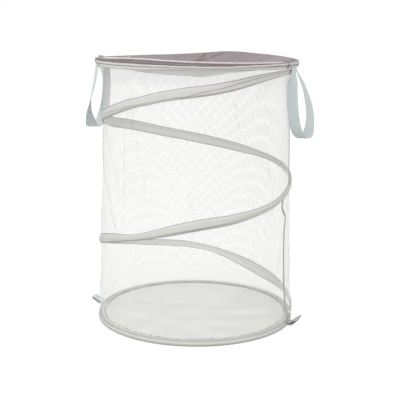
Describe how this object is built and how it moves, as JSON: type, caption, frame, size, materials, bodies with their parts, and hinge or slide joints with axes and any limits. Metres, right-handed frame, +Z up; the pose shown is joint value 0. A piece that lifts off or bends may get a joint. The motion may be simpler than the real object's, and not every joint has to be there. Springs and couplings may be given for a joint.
{
  "type": "pop up laundry hamper",
  "caption": "Round collapsible laundry hamper: net wall on a wire spiral and hoops, zipped fabric lid, webbing loop handles and foot tabs.",
  "frame": {"origin": "centre of the underside of the floor panel, on the ground plane and on the hamper's axis", "axes": "+Z up along the hamper's axis, -Y towards the front of the zipped lid, +X to the right when seen from the front"},
  "size_m": [0.4438, 0.3888, 0.5144],
  "materials": {
    "net": "open knitted polyester net, near white, thin and translucent",
    "greige": "plain woven polyester binding, light warm grey, matt",
    "floor": "plain woven polyester sheet, light grey, softly wrinkled",
    "mauve": "plain woven polyester lining, dusky grey mauve, slight sheen",
    "piping": "satin covered cord, pale pinkish white",
    "zip": "nylon coil, dusky grey mauve",
    "webbing": "flat woven polypropylene webbing, pale grey blue",
    "wire": "flat spring steel, lacquered grey",
    "cap": "moulded polyethylene, off white",
    "slider": "die cast, painted grey mauve, semi gloss"
  },
  "bodies": {
    "base": {"floor_panel": "floor", "floor_seam_binding": "greige", "bottom_hem": "greige", "bottom_hoop": "wire", "bottom_hoop_ferrule": "wire", "mesh_wall": "net", "wall_seam_binding": "greige", "spiral_sleeve": "greige", "spiral_wire": "wire", "spiral_cap_bottom": "cap"},
    "rim": {"top_hem": "greige", "top_hoop": "wire", "top_hoop_ferrule": "wire", "lid_back_panel": "mauve", "zip_tape_lower": "mauve", "zip_coil_lower": "zip", "zip_stop_left": "slider", "zip_stop_right": "slider", "handle_end_right_front": "webbing", "handle_end_right_rear": "webbing", "handle_end_left_front": "webbing", "handle_end_left_rear": "webbing", "spiral_cap_top": "cap"},
    "lid": {"lid_panel": "mauve", "lid_piping": "piping", "zip_tape_upper": "mauve", "zip_coil_upper": "zip"},
    "slider": {"zip_slider": "slider"},
    "pull": {"zip_pull": "slider"},
    "right_loop": {"handle_right": "webbing"},
    "left_loop": {"handle_left": "webbing"},
    "right_tab": {"tab_right": "webbing"},
    "left_tab": {"tab_left": "webbing"}
  },
  "joints": [
    {"name": "collapse", "type": "slide", "parent": "base", "child": "rim", "axis": [0, 0, 1], "range_m": [-0.455, 0], "stiffness_N_per_m": 30, "springref_m": 0.2, "deforming": ["mesh_wall", "wall_seam_binding", "spiral_sleeve", "spiral_wire", "handle_right", "handle_left"]},
    {"name": "lid_fold", "type": "hinge", "parent": "rim", "child": "lid", "pos_m": [0, 0.062, 0.5123], "axis": [-1, 0, 0], "range_deg": [0, 175]},
    {"name": "zip_slide", "type": "hinge", "parent": "rim", "child": "slider", "pos_m": [0, 0, 0.50635], "axis": [0, 0, 1], "range_deg": [0, 208]},
    {"name": "pull_swing", "type": "hinge", "parent": "slider", "child": "pull", "pos_m": [-0.19193, 0.04782, 0.50635], "axis": [0, 0, 1], "range_deg": [0, 180]},
    {"name": "right_handle_swing", "type": "hinge", "parent": "rim", "child": "right_loop", "pos_m": [0.18619, -0.01629, 0.49485], "axis": [-0.0872, -0.9962, 0], "range_deg": [0, 140]},
    {"name": "left_handle_swing", "type": "hinge", "parent": "rim", "child": "left_loop", "pos_m": [-0.18679, 0.00652, 0.49485], "axis": [0.0349, 0.9994, 0], "range_deg": [0, 140]},
    {"name": "right_tab_bend", "type": "hinge", "parent": "base", "child": "right_tab", "pos_m": [0.18107, -0.06951, 0.0065], "axis": [-0.3584, -0.9336, 0], "range_deg": [-25, 45], "stiffness_Nm_per_rad": 0.01},
    {"name": "left_tab_bend", "type": "hinge", "parent": "base", "child": "left_tab", "pos_m": [-0.18644, 0.05346, 0.0065], "axis": [0.2756, 0.9613, 0], "range_deg": [-25, 45], "stiffness_Nm_per_rad": 0.01}
  ]
}
